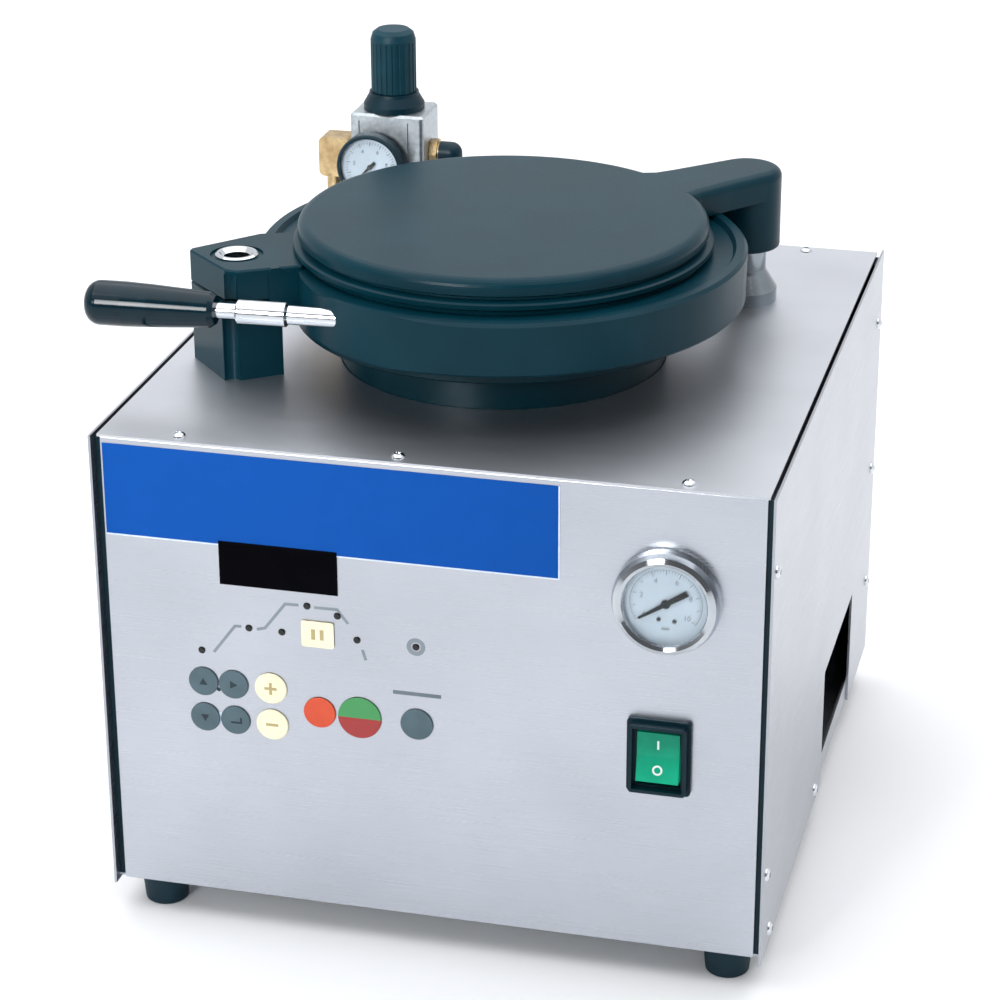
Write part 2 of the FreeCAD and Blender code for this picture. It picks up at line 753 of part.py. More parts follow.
def led_points():
    return [(panel_x(x), panel_z(drop)) for x, drop in
            [(61.9, 132.0), (91.6, 114.3), (111.8, 114.6), (127.6, 96.1), (145.9, 100.4),
             (157.4, 114.5), (192.8, 114.9)]]


def key_cap(x, z, r):
    """Round key cap with its guide stem through the panel; its back clears the panel."""
    front = front_face_y - key_proud
    cap_back = front_face_y - key_travel - key_clearance
    return turned_y([(0, front), (r - 0.5, front), (r, front + 0.5), (r, cap_back), (key_stem_r, cap_back),
                     (key_stem_r, front_back_y + 2.0), (0, front_back_y + 2.0)], x, z)


def square_key():
    x, z = square_key_centre()
    w, h = square_key_size
    cap_back = front_face_y - key_travel - key_clearance
    cap = box(x - w / 2, x + w / 2, front_face_y - key_proud, cap_back, z - h / 2, z + h / 2)
    cap = cap.makeFillet(1.5, [e for e in cap.Edges if e.BoundBox.YLength > 0.2])
    return joined([cap, rod_y(x, cap_back - 0.2, front_back_y + 2.0, z, key_stem_r)])


def leds():
    back = front_back_y + 3.0
    outline = [(0, front_face_y - led_proud), (led_r * 0.7, front_face_y - led_proud * 0.8),
               (led_r, front_face_y - led_proud * 0.3), (led_r, back), (0, back)]
    return [turned_y(outline, x, z) for x, z in led_points()]


def label_film():
    x0, x1, top, bottom = label_box
    film = box(panel_x(x0), panel_x(x1), front_face_y - label_thickness, front_face_y,
               panel_z(bottom), panel_z(top))
    dx0, dx1, display_top, display_bottom = display_box
    return film.cut(box(panel_x(dx0), panel_x(dx1), front_face_y - 2, front_face_y + 1,
                        panel_z(display_bottom), panel_z(display_top)))


def display_opening(y0, y1):
    x0, x1, top, bottom = display_box
    return box(panel_x(x0) + display_step, panel_x(x1) - display_step, y0, y1,
               panel_z(bottom) + display_step, panel_z(top) - display_step)


def display_window():
    x0, x1, top, bottom = display_box
    window = box(panel_x(x0), panel_x(x1), front_face_y - 1.0, front_face_y, panel_z(bottom), panel_z(top))
    window = window.makeChamfer(0.4, [e for e in window.Edges if e.BoundBox.YMax < front_face_y - 0.9])
    return joined([window, display_opening(front_face_y, front_back_y + 2.0)])


def control_board():
    """Printed board behind the keys with its transformer, relay, processor and capacitor."""
    x0, x1, top, bottom = board_box
    y0 = front_back_y + board_gap
    face = y0 + board_thickness
    parts = [box(panel_x(x0), panel_x(x1), y0, face, panel_z(bottom), panel_z(top))]
    for x, drop, width, height, depth in [(95.0, 73.0, 26.0, 20.0, 6.0), (140.0, 78.0, 14.0, 30.0, 9.0),
                                          (150.0, 133.0, 20.0, 20.0, 5.0), (180.0, 173.0, 18.0, 12.0, 14.0)]:
        parts.append(box(panel_x(x) - width / 2, panel_x(x) + width / 2, face, face + depth,
                         panel_z(drop) - height / 2, panel_z(drop) + height / 2))
    tools = [rod_y(x, y0 - 1, face + 1, z, stud_r) for x, z in board_stud_points()]
    return joined(parts).cut(tools)


def board_stud_points():
    x0, x1, top, bottom = board_box
    return [(panel_x(x), panel_z(drop)) for drop in (bottom - stud_inset, top + stud_row_drop)
            for x in (x0 + stud_inset, x1 - stud_inset)]


# Gauge on the front panel
def front_gauge_case():
    """Cup behind the dial, with the square and the stem of its pipe connection."""
    back = front_face_y + case_depth
    cup = turned_y([(0, back), (case_wall_r - 0.4, back), (case_wall_r, back - 2.0), (case_wall_r, dial_y),
                    (dial_r, dial_y), (dial_r, dial_y + 1.0), (0, dial_y + 1.0)], gauge_x, gauge_z)
    half = gauge_square / 2
    stem = joined([rod_y(gauge_x, back - 1.0, back + 18.0, gauge_z, gauge_stem_r),
                   box(gauge_x - half, gauge_x + half, back, back + 8.0, gauge_z - half, gauge_z + half)])
    return joined([cup, stem]).cut(rod_y(gauge_x, dial_y, dial_y + 6.0, gauge_z, spindle_r + spindle_fit))


def front_gauge_bezel():
    y = front_face_y
    outline = [(case_wall_r, y), (gauge_r, y), (gauge_r + 0.4, y - 1.5), (gauge_r, y - 7.0),
               (gauge_r - 1.6, y - 10.6), (gauge_r - 4.2, gauge_front_y), (gauge_r - 6.2, y - 10.8),
               (gauge_r - 7.0, lens_front_y), (dial_r, lens_front_y), (dial_r, dial_y), (case_wall_r, dial_y)]
    return turned_y(outline, gauge_x, gauge_z)


def front_gauge_lens():
    return rod_y(gauge_x, lens_front_y, lens_front_y + lens_thickness, gauge_z, dial_r)


def front_gauge_dial():
    dial = rod_y(gauge_x, dial_y + 0.4, dial_y + 1.0, gauge_z, dial_r)
    return dial.cut(rod_y(gauge_x, dial_y, dial_y + 2.0, gauge_z, spindle_r + spindle_fit))


def needle(x, z, y0, y1, sizes, angle):
    """Flat pointer with a thin tip and a broad tail on a round hub."""
    tip, tail, width = sizes
    points = [(-tip, -width * 0.18), (-tip, width * 0.18), (0, width * 0.4), (tail, width * 0.5),
              (tail, -width * 0.5), (0, -width * 0.4)]
    blade = plate_y(points, y0, y1)
    hub = Part.makeCylinder(width * 0.75, y1 - y0, FreeCAD.Vector(0, y0, 0), along_y)
    spindle = Part.makeCylinder(spindle_r, spindle_length, FreeCAD.Vector(0, y0, 0), along_y)
    shape = joined([blade, hub, spindle])
    shape.rotate(FreeCAD.Vector(0, 0, 0), along_y, angle)
    shape.translate(FreeCAD.Vector(x, 0, z))
    return shape


def gauge_clamp():
    """Strap over the back of the gauge that pulls it against the panel."""
    bar_front = front_face_y + case_depth + 8.0
    bar = box(gauge_x - clamp_reach, gauge_x + clamp_reach, bar_front, bar_front + 2.0,
              gauge_z - 7, gauge_z + 7)
    legs = [box(min(x, x - side * 2.0), max(x, x - side * 2.0), front_back_y, bar_front + 1.0,
                gauge_z - 7, gauge_z + 7)
            for side, x in ((-1, gauge_x - clamp_reach), (1, gauge_x + clamp_reach))]
    return joined([bar] + legs).cut(rod_y(gauge_x, bar_front - 2, bar_front + 4, gauge_z, gauge_stem_r))


# Mains rocker switch
def rocker_frame():
    """Switch frame snapped into the panel, with the pocket the rocker turns in."""
    x, z = switch_x, switch_z
    w, h = switch_frame[0] / 2, switch_frame[1] / 2
    y = front_face_y
    flange = box(x - w, x + w, y - 3.0, y, z - h, z + h)
    flange = flange.makeFillet(2.5, [e for e in flange.Edges if e.BoundBox.YLength > 2])
    wall = box(x - w + 2, x + w - 2, y - 8.5, y - 3.0, z - h + 2, z + h - 2)
    wall = wall.makeFillet(2.0, [e for e in wall.Edges if e.BoundBox.YLength > 2])
    half_w, half_h = switch_body_half
    body = box(x - half_w, x + half_w, y, y + switch_body_depth, z - half_h, z + half_h)
    shape = joined([flange, wall, body])
    inside = rocker_half_width + 0.5
    reach = rocker_sweep_r + 0.35
    pocket = box(x - inside, x + inside, y - 9.0, y + 12.0, z - reach, z + reach)
    opening = box(x - w + 4.0, x + w - 4.0, y - 9.0, y - 3.5, z - h + 4.0, z + h - 4.0)
    pins = rod_x(x - inside - 1.5, x + inside + 1.5, rocker_pivot_y, z, 1.6)
    return shape.cut([pocket, opening, pins])


def rocker_button():
    """Rocker with a shallow V front, tilted to its switched-on end."""
    w, h = rocker_half_width, rocker_half_height
    front = -rocker_depth - rocker_rise
    points = [(h, front), (0, -rocker_depth), (-h, front), (-h, 0), (-h * 0.5, 5.0), (h * 0.5, 5.0), (h, 0)]
    corners = [FreeCAD.Vector(-w, y, z) for z, y in points]
    face = Part.Face(Part.makePolygon(corners + corners[:1]))
    cap = face.extrude(FreeCAD.Vector(2 * w, 0, 0))
    pins = rod_x(-w - 1.8, w + 1.8, 0, 0, 1.52)
    shape = joined([cap, pins])
    shape.rotate(FreeCAD.Vector(0, 0, 0), along_x, -rocker_tilt)
    shape.translate(FreeCAD.Vector(switch_x, rocker_pivot_y, switch_z))
    return shape


# Regulator with its gauge and fittings
def regulator_body():
    body = box(reg_x - reg_half_x, reg_x + reg_half_x, reg_y - reg_half_y, reg_y + reg_half_y,
               reg_body_bottom, reg_top)
    body = body.makeFillet(3.0, [e for e in body.Edges if e.BoundBox.ZLength > 20])
    body = body.makeChamfer(1.6, edges_at(body, reg_top))
    bowl = turned([(0, reg_bottom), (9, reg_bottom), (12, reg_bottom + 3), (16, reg_body_bottom),
                   (16, reg_body_bottom + 1.0), (0, reg_body_bottom + 1.0)], reg_x, reg_y)
    shape = joined([body, bowl])
    tools = [rod_x(reg_x - reg_half_x - 1, reg_x - reg_half_x + 10, reg_y, reg_port_z, port_r),
             rod_x(reg_x + reg_half_x - 10, reg_x + reg_half_x + 1, reg_y, reg_port_z, port_r),
             rod(reg_x, reg_y, reg_top - 6, reg_top + 1, 12.0),
             rod_y(reg_gauge_x, reg_y - reg_half_y - 1, reg_y - reg_half_y + 8, reg_gauge_z, 5.0)]
    for side in (-1, 1):
        tools.append(box(reg_x + side * 17 - 2.5, reg_x + side * 17 + 2.5, reg_y - reg_half_y - 1,
                         reg_y - reg_half_y + 1.2, reg_port_z - 16.0, reg_port_z + 24.0))
    return shape.cut(tools)


def regulator_collar():
    outline = [(0, reg_top - 6), (12.0, reg_top - 6), (12.0, reg_top), (20.5, reg_top), (20.5, reg_top + 4.0),
               (17.0, collar_top - 2.0), (16.6, collar_top), (9.0, collar_top), (9.0, collar_top + 12.0),
               (0, collar_top + 12.0)]
    collar = turned(outline, reg_x, reg_y)
    return collar


def regulator_knob():
    z0 = collar_top + 0.4
    outline = [(9.1, z0), (knob_r, z0), (knob_r, knob_top - 7.0), (knob_r - 1.4, knob_top - 2.4),
               (knob_r - 4.5, knob_top), (0, knob_top), (0, collar_top + 12.5), (9.1, collar_top + 12.5)]
    knob = turned(outline, reg_x, reg_y)
    flutes = []
    for step in range(24):
        angle = 2 * math.pi * step / 24
        x = reg_x + (knob_r + 0.55) * math.cos(angle)
        y = reg_y + (knob_r + 0.55) * math.sin(angle)
        flutes.append(rod(x, y, z0 - 1, knob_top - 8.0, 1.1))
    return knob.cut(flutes)


def regulator_gauge_case():
    y0 = reg_gauge_face_y
    back = reg_y - reg_half_y
    case = turned_y([(0, y0 + 5.0), (reg_gauge_r - 2.5, y0 + 5.0), (reg_gauge_r - 2.5, y0), (reg_gauge_r - 0.8, y0),
                     (reg_gauge_r, y0 + 1.5), (reg_gauge_r, y0 + 9.0), (reg_gauge_r - 3.0, y0 + 12.0),
                     (0, y0 + 12.0)], reg_gauge_x, reg_gauge_z)
    stem = rod_y(reg_gauge_x, y0 + 11.0, back + 8.0, reg_gauge_z, 5.0)
    return joined([case, stem]).cut(rod_y(reg_gauge_x, y0 + 4.0, y0 + 9.0, reg_gauge_z, spindle_r + spindle_fit))


def regulator_gauge_dial():
    y0 = reg_gauge_face_y
    dial = rod_y(reg_gauge_x, y0 + 4.4, y0 + 5.0, reg_gauge_z, reg_gauge_r - 2.5)
    return dial.cut(rod_y(reg_gauge_x, y0 + 4.0, y0 + 6.0, reg_gauge_z, spindle_r + spindle_fit))


def regulator_gauge_lens():
    y0 = reg_gauge_face_y
    return rod_y(reg_gauge_x, y0 + 0.6, y0 + 1.8, reg_gauge_z, reg_gauge_r - 2.5)


def inlet_fitting():
    """Brass elbow on the supply side: nipple into the body, block, plug below, tail to the rear."""
    left = reg_x - reg_half_x
    nipple = rod_x(left - 5.0, left + 10.0, reg_y, reg_port_z, port_r)
    block = box(left - 26.0, left - 4.0, reg_y - 9.0, reg_y + 9.0, reg_port_z - 20.0, reg_port_z + 7.5)
    block = block.makeFillet(4.0, [e for e in block.Edges if e.BoundBox.YLength > 10])
    plug = rod(left - 17.0, reg_y, reg_port_z - 33.0, reg_port_z - 19.0, 6.0)
    tail_x, tail_z = left - 15.0, reg_port_z - 6.0
    tail = rod_y(tail_x, reg_y + 8.0, reg_y + 22.0, tail_z, port_r)
    shape = joined([nipple, block, plug, tail])
    return shape.cut(rod_y(tail_x, reg_y + 9.0, reg_y + 23.0, tail_z, 3.5))


def outlet_fitting():
    right = reg_x + reg_half_x
    nipple = rod_x(right - 10.0, right + outlet_reach, reg_y, reg_port_z, port_r)
    points = [FreeCAD.Vector(right + 0.5, y, z) for y, z in hexagon_points(reg_y, reg_port_z, 9.2)]
    hexagon = Part.Face(Part.makePolygon(points + points[:1])).extrude(FreeCAD.Vector(5.0, 0, 0))
    return joined([nipple, hexagon])


def hose_elbow():
    right = reg_x + reg_half_x
    arm = rod_x(right + outlet_reach, tube_x, tube_y, reg_port_z, hose_r)
    ball = Part.makeSphere(hose_r, FreeCAD.Vector(tube_x, tube_y, reg_port_z))
    leg = rod(tube_x, tube_y, reg_port_z - 16.0, reg_port_z, hose_r)
    collar = rod(tube_x, tube_y, reg_port_z - 19.0, reg_port_z - 15.5, 5.6)
    return joined([arm, ball, leg, collar]).cut(rod(tube_x, tube_y, reg_port_z - 20.0, reg_port_z - 6.0, tube_r))


def air_tube():
    tube = rod(tube_x, tube_y, plate_z + 8.0, reg_port_z - 6.0, tube_r)
    return tube.cut(rod(tube_x, tube_y, plate_z + 7.0, reg_port_z - 5.0, tube_r - tube_wall))


def bulkhead_fitting():
    shape = joined([rod(tube_x, tube_y, plate_z, plate_z + 5.0, bulkhead_nut_r),
                    rod(tube_x, tube_y, plate_z + 4.0, plate_z + 14.0, 7.0),
                    rod(tube_x, tube_y, plate_under - 14.0, plate_z + 1.0, bulkhead_r),
                    rod(tube_x, tube_y, plate_under - 6.0, plate_under, bulkhead_nut_r)])
    return shape.cut(rod(tube_x, tube_y, plate_z + 8.0, plate_z + 15.0, tube_r))


def regulator_bracket():
    """Folded bracket: foot on the plate, upright behind the regulator."""
    y0 = reg_y + reg_half_y
    y1 = y0 + bracket_sheet
    foot = box(reg_x - bracket_half, reg_x + bracket_half, y0 - bracket_foot, y1, plate_z, plate_z + bracket_sheet)
    upright = box(reg_x - bracket_half, reg_x + bracket_half, y0, y1, plate_z, reg_port_z + bracket_rise)
    return joined([foot, upright])


# Inside the housing
def mains_inlet():
    """Appliance inlet in the rear panel with its three blades."""
    x, z = inlet_x, inlet_z
    w, h = inlet_half_x, inlet_half_z
    flange = box(x - w - 3, x + w + 3, rear_face_y, rear_face_y + 2.5, z - h - 3, z + h + 3)
    flange = flange.makeFillet(3.0, [e for e in flange.Edges if e.BoundBox.YLength > 2])
    body = box(x - w, x + w, rear_front_y - 18.0, rear_face_y, z - h, z + h)
    cavity = box(x - w + 2, x + w - 2, rear_face_y - 14.0, rear_face_y + 4, z - h + 2, z + h - 2)
    blades = [box(x + dx - 1, x + dx + 1, rear_face_y - 15.0, rear_face_y - 5.0, z + dz - 2, z + dz + 2)
              for dx, dz in ((-7, -2), (0, 3), (7, -2))]
    return joined([joined([flange, body]).cut(cavity)] + blades)


def heater_band():
    """Band clamped round the lower vessel, its two ears at the rear."""
    z0 = vessel_bottom + heater_low
    z1 = z0 + heater_height
    outer_r = vessel_outer_r + heater_wall
    band = rod(vessel_x, vessel_y, z0, z1, outer_r)
    band = band.cut(rod(vessel_x, vessel_y, z0 - 1, z1 + 1, vessel_outer_r))
    gap = box(vessel_x - 4, vessel_x + 4, vessel_y + vessel_outer_r - 10, vessel_y + outer_r + 7, z0 - 1, z1 + 1)
    ears = [box(vessel_x + side * 5.5 - 1.5, vessel_x + side * 5.5 + 1.5, vessel_y + vessel_outer_r + 1.0,
                vessel_y + vessel_outer_r + 16.0, z0 + 4.0, z1 - 4.0) for side in (-1, 1)]
    return joined([band.cut(gap)] + ears)


def vessel_skirt():
    """Rolled skirt with a turned-out foot that carries the vessel off the base plate."""
    foot_top = floor_z + sheet + skirt_wall
    return turned([(skirt_r - skirt_wall, floor_z + sheet), (skirt_r + skirt_foot, floor_z + sheet),
                   (skirt_r + skirt_foot, foot_top), (skirt_r, foot_top), (skirt_r, vessel_bottom),
                   (skirt_r - skirt_wall, vessel_bottom)], vessel_x, vessel_y)


def power_supply():
    """Enclosed supply on the pan, its terminal strip to the front, slots in its top."""
    length_x, length_y, height = supply_size
    x0 = -side_inner + supply_side
    y0 = rear_front_y - supply_rear - length_y
    z0 = floor_z + sheet
    case = box(x0, x0 + length_x, y0, y0 + length_y, z0, z0 + height)
    slots = [box(x0 + 8, x0 + length_x - 8, y0 + 12 + 12 * n, y0 + 17 + 12 * n, z0 + height - 1, z0 + height + 2)
             for n in range(6)]
    strip = box(x0 + 5, x0 + length_x - 5, y0 - 9.0, y0, z0, z0 + 16.0)
    return joined([case, strip]).cut(slots)


def solenoid_valve():
    x, y = valve_x, rear_front_y - valve_rear
    z0 = floor_z + sheet
    body = box(x - 18, x + 18, y - 14, y + 14, z0, z0 + 26.0)
    coil = box(x - 15, x + 15, y - 13, y + 13, z0 + 26.0, z0 + 62.0)
    nut = rod(x, y, z0 + 62.0, z0 + 68.0, 8.0)
    ports = rod_x(x - 26, x + 26, y, z0 + 13.0, 8.0)
    return joined([body, coil, nut, ports]).cut([rod_x(x - 27, x - 16, y, z0 + 13.0, 5.0),
                                                 rod_x(x + 16, x + 27, y, z0 + 13.0, 5.0)])


def main():
    screw = dome_screw(screw_head_r, screw_head_height, screw_shank_r, screw_shank)
    save(base_plate(), "base_plate")
    save_group(corner_posts(), "corner_posts")
    save(front_panel(), "front_panel")
    save(rear_panel(), "rear_panel")
    save(side_panel(-1), "left_side_panel")
    save(side_panel(1), "right_side_panel")
    save(top_plate(), "top_plate")
    save_group(feet(), "rubber_feet")
    case_screws = [placed(screw, x, y, plate_z) for x, y in top_screw_points]
    for y, z in side_screw_points:
        for side in (-1, 1):
            case_screws.append(placed(screw, side * half_width, y, foot_height + z, along_y, side * 90))
    save_group(case_screws, "case_screws")
    save_group(mounting_screws(), "mounting_screws")

    save(pressure_vessel(), "pressure_vessel")
    save(lock_ring(), "lock_ring")
    save(ear_bush(), "lock_ear_bush")
    save(lever_rod(), "lever_rod")
    save(lever_grip(), "lever_grip")
    save(lock_block(), "lock_block")
    save(lid_casting(), "lid_casting")
    save(seal_ring(seal_depth), "lid_seal")
    save(hinge_post(), "hinge_post")
    save(post_nut(), "hinge_post_nut")

    save(label_film(), "label_film")
    save(display_window(), "display_window")
    for name, x, z, r in round_keys():
        save(key_cap(x, z, r), name)
    save(square_key(), "key_cycle_select")
    save_group(leds(), "indicator_leds")
    save(control_board(), "control_board")

    save(front_gauge_case(), "front_gauge_case")
    save(front_gauge_bezel(), "front_gauge_bezel")
    save(front_gauge_dial(), "front_gauge_dial")
    front_pointer = needle(gauge_x, gauge_z, front_face_y - 6.9, front_face_y - 6.3, front_needle, front_needle_angle)
    save(front_pointer, "front_gauge_needle")
    save(front_gauge_lens(), "front_gauge_lens")
    save(gauge_clamp(), "front_gauge_clamp")
    save(rocker_frame(), "rocker_frame")
    save(rocker_button(), "rocker_button")

    save(regulator_body(), "regulator_body")
    save(regulator_collar(), "regulator_collar")
    save(regulator_knob(), "regulator_knob")
    save(regulator_gauge_case(), "regulator_gauge_case")
    save(regulator_gauge_dial(), "regulator_gauge_dial")
    save(needle(reg_gauge_x, reg_gauge_z, reg_gauge_face_y + 2.6, reg_gauge_face_y + 3.2, reg_needle,
                reg_needle_angle), "regulator_gauge_needle")
    save(regulator_gauge_lens(), "regulator_gauge_lens")
    save(inlet_fitting(), "inlet_elbow")
    save(outlet_fitting(), "outlet_nipple")
    save(hose_elbow(), "hose_elbow")
    save(air_tube(), "air_tube")
    save(bulkhead_fitting(), "bulkhead_fitting")
    save(regulator_bracket(), "regulator_bracket")

    save(mains_inlet(), "mains_inlet")
    save(heater_band(), "heater_band")
    save(vessel_skirt(), "vessel_skirt")
    save(power_supply(), "power_supply")
    save(solenoid_valve(), "solenoid_valve")


main()
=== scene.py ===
import math

import bmesh
import bpy
from mathutils import Matrix, Vector


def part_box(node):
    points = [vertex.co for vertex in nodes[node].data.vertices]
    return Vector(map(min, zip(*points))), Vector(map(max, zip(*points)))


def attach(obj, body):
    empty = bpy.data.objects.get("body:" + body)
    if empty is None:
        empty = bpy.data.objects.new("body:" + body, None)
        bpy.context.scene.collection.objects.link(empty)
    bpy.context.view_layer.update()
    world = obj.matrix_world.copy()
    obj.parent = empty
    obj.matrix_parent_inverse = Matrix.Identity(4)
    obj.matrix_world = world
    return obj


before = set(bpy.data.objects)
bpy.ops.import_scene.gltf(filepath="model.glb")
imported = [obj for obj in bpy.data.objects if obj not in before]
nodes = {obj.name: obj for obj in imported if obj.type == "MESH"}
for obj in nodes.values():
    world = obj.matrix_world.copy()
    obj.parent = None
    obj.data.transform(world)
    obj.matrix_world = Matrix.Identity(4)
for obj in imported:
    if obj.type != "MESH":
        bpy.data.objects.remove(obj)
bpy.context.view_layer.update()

# Sizes are in millimetres; Blender works in metres
MM = 0.001
HOUSING_HALF_WIDTH = 200.0
FOOT_HEIGHT = 22.0
PRINT_THICKNESS = 0.12
SWITCH_HEIGHT = 148.2
ROCKER_PIVOT = 3.0
ROCKER_DEPTH = 7.6
ROCKER_TILT = 6.0

# Light of the studio and of the room behind the camera
PALE_STUDIO = 0.9
DIM_ROOM = 0.15

# Most of a noise pattern lies between these two values
NOISE_LOW = 0.3
NOISE_HIGH = 0.7

# Camera, worked out from the photographed edges of the housing
CAMERA_PLACE = (430.75, -1734.56, 974.11)
CAMERA_YAW = 14.3018
CAMERA_PITCH = 23.3238
CAMERA_ROLL = -0.2219
LENS = 109.89
SENSOR = 36.0

front_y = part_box("front_panel")[0][1] / MM


def panel_point(across, height, proud=0.0):
    """A point on the front panel, from its left edge and the underside of the housing."""
    return Vector(((across - HOUSING_HALF_WIDTH) * MM, (front_y - proud) * MM, (height + FOOT_HEIGHT) * MM))


def linear(colour):
    """Linear colour from a hex sRGB one."""
    parts = [int(colour[i:i + 2], 16) / 255 for i in (0, 2, 4)]
    return tuple(c / 12.92 if c <= 0.04045 else ((c + 0.055) / 1.055) ** 2.4 for c in parts) + (1.0,)


def add(mat, kind, links=None, **settings):
    """A new shader node with its settings; links are fixed values or the outputs of other nodes."""
    node = mat.node_tree.nodes.new("ShaderNode" + kind)
    for key, value in settings.items():
        setattr(node, key, value)
    for key, value in (links or {}).items():
        if isinstance(value, bpy.types.NodeSocket):
            mat.node_tree.links.new(value, node.inputs[key])
        else:
            node.inputs[key].default_value = value
    return node


def finish(name, tones, rough, relief, depth, strength, cloud, metallic=0.0, **sockets):
    """Two near tones in slow clouds over a fine relief, which also varies the roughness.

    relief is the size of the pattern's lumps along x, y and z, and cloud that of the tones, in mm.
    """
    mat = bpy.data.materials.new(name)
    mat.use_nodes = True
    mat.node_tree.nodes.clear()
    place = add(mat, "TexCoord").outputs["Object"]
    fine_place = add(mat, "Mapping", {"Vector": place, "Scale": [1.0 / (size * MM) for size in relief]})
    fine = add(mat, "TexNoise", {"Vector": fine_place.outputs["Vector"], "Scale": 1.0, "Detail": 2.0})
    slow = add(mat, "TexNoise", {"Vector": place, "Scale": 1.0 / (cloud * MM), "Detail": 3.0})
    share = add(mat, "MapRange", {"Value": slow.outputs["Fac"], "From Min": NOISE_LOW, "From Max": NOISE_HIGH})
    tone = add(mat, "Mix", {0: share.outputs["Result"], 6: linear(tones[0]), 7: linear(tones[1])}, data_type="RGBA")
    gloss = add(mat, "MapRange", {"Value": fine.outputs["Fac"], "From Min": NOISE_LOW, "From Max": NOISE_HIGH,
                                  "To Min": rough[0], "To Max": rough[1]})
    bump = add(mat, "Bump", {"Height": fine.outputs["Fac"], "Distance": depth * MM, "Strength": strength})
    links = {"Base Color": tone.outputs[2], "Roughness": gloss.outputs["Result"], "Normal": bump.outputs["Normal"],
             "Metallic": metallic}
    links.update({key.replace("_", " "): value for key, value in sockets.items()})
    shader = add(mat, "BsdfPrincipled", links)
    add(mat, "OutputMaterial", {"Surface": shader.outputs["BSDF"]})
    return mat


def shader_of(mat):
    return mat.node_tree.nodes["Principled BSDF"]


# Materials

def brushed_stainless(name, along, tones, rough):
    # Cold-rolled stainless sheet, brushed on a belt. The straight scratches cloud the mirror image and
    # leave a satin grey that turns pale towards the light. Real scratches are about 0.05 mm wide, which
    # is too fine to show, so they are drawn 0.35 mm wide and 60 mm long.
    length, width = 60.0, 0.35
    line = {"x": (length, width, width), "y": (width, length, width)}[along]
    return finish(name, tones, rough, line, 0.008, 0.3, 90.0, 1.0)


def zinc_plated_sheet():
    # Mild steel sheet, bright zinc-plated and left as it comes: a cool, slightly cloudy grey.
    return finish("zinc_plated_steel_sheet", ("9aa1a6", "b4babe"), (0.3, 0.45), (3.0, 3.0, 3.0), 0.006, 0.3, 25.0, 1.0)


def powder_coated_aluminium(name, tones):
    # Cast aluminium with a satin powder coat: deep petrol-black walls, and a grey sheen where the light
    # grazes. The coat flows out into an orange peel of about 0.9 mm.
    return finish(name, tones, (0.28, 0.36), (0.9, 0.9, 0.9), 0.03, 0.5, 38.0, Specular_IOR_Level=0.13)


def turned_steel(name, tones, rough):
    # Mild steel bar, turned and polished: a bright mirror with faint rings round the turned axis.
    # The tool marks are about 0.1 mm apart, drawn 0.4 mm apart to show at all.
    return finish(name, tones, rough, (7.0, 0.4, 7.0), 0.004, 0.3, 20.0, 1.0)


def turned_brass():
    # Free-cutting brass, turned and milled, dulled by handling: a warm, slightly blotched yellow.
    return finish("turned_brass", ("a58a62", "cfb78c"), (0.25, 0.42), (9.0, 0.5, 9.0), 0.01, 0.4, 6.0, 1.0)


def die_cast_zinc():
    # Zinc alloy, pressure die-cast and tumbled: a bright skin that is slightly uneven every 3 mm or so.
    return finish("tumbled_die_cast_zinc", ("a6aeb3", "bfc6ca"), (0.36, 0.46), (3.0, 3.0, 3.0), 0.012, 0.3, 3.0, 1.0)


def moulded_plastic(name, tones, rough, **sockets):
    # Injection-moulded plastic from a spark-eroded mould: an even, dull colour with a fine grit of
    # about 0.25 mm.
    return finish(name, tones, rough, (0.25, 0.25, 0.25), 0.01, 0.5, 14.0, **sockets)


def polished_phenolic():
    # Phenolic resin, compression-moulded and buffed: near black, with sharp highlights.
    return finish("buffed_phenolic_resin", ("021a23", "04202a"), (0.06, 0.1), (0.4, 0.4, 0.4), 0.002, 0.5, 14.0,
                  Specular_IOR_Level=0.25)


def moulded_rubber():
    # Natural rubber filled with carbon black, moulded: almost without gloss, with a dusty 0.6 mm grain.
    return finish("moulded_black_rubber", ("052531", "082c39"), (0.55, 0.7), (0.6, 0.6, 0.6), 0.03, 0.5, 14.0,
                  Specular_IOR_Level=0.3)


def silicone_seal():
    # Silicone rubber, moulded and red-brown as steam seals are: soft sheen, no grain that shows.
    return finish("moulded_silicone_rubber", ("7a3a2c", "8a4433"), (0.5, 0.6), (0.5, 0.5, 0.5), 0.005, 0.5, 14.0)


def printed_film(name, tones, rough=(0.42, 0.52), **sockets):
    # Polyester film, screen-printed on its back: flat colour under a satin face.
    return finish(name, tones, rough, (0.3, 0.3, 0.3), 0.003, 0.5, 14.0, **sockets)


def screen_ink(name, tones):
    # Screen-printing ink, laid on about 0.02 mm thick: matt, with an even edge.
    return finish(name, tones, (0.5, 0.6), (0.25, 0.25, 0.25), 0.002, 0.5, 14.0)


def tinted_acrylic():
    # Smoke-tinted acrylic sheet over an unlit display: black, with a faint gloss.
    return finish("smoke_tinted_acrylic", ("010104", "020206"), (0.16, 0.22), (0.4, 0.4, 0.4), 0.002, 0.5, 14.0,
                  Specular_IOR_Level=0.03)


def painted_dial():
    # Aluminium dial plate, stove-enamelled white: even and matt behind its glass.
    return finish("white_enamelled_dial", ("c6d6e2", "d0deea"), (0.45, 0.55), (0.25, 0.25, 0.25), 0.004, 0.5, 14.0)


def clear_glass():
    # Float glass, cut to a round pane: clear, with a sharp edge of light. Part of it is see-through in
    # the plain sense, so that the dial stays bright with few light bounces.
    return finish("float_glass_pane", ("f4f8fa", "f6fafc"), (0.01, 0.05), (12.0, 12.0, 12.0), 0.001, 0.1, 30.0,
                  Transmission_Weight=1.0, IOR=1.45, Alpha=0.3)


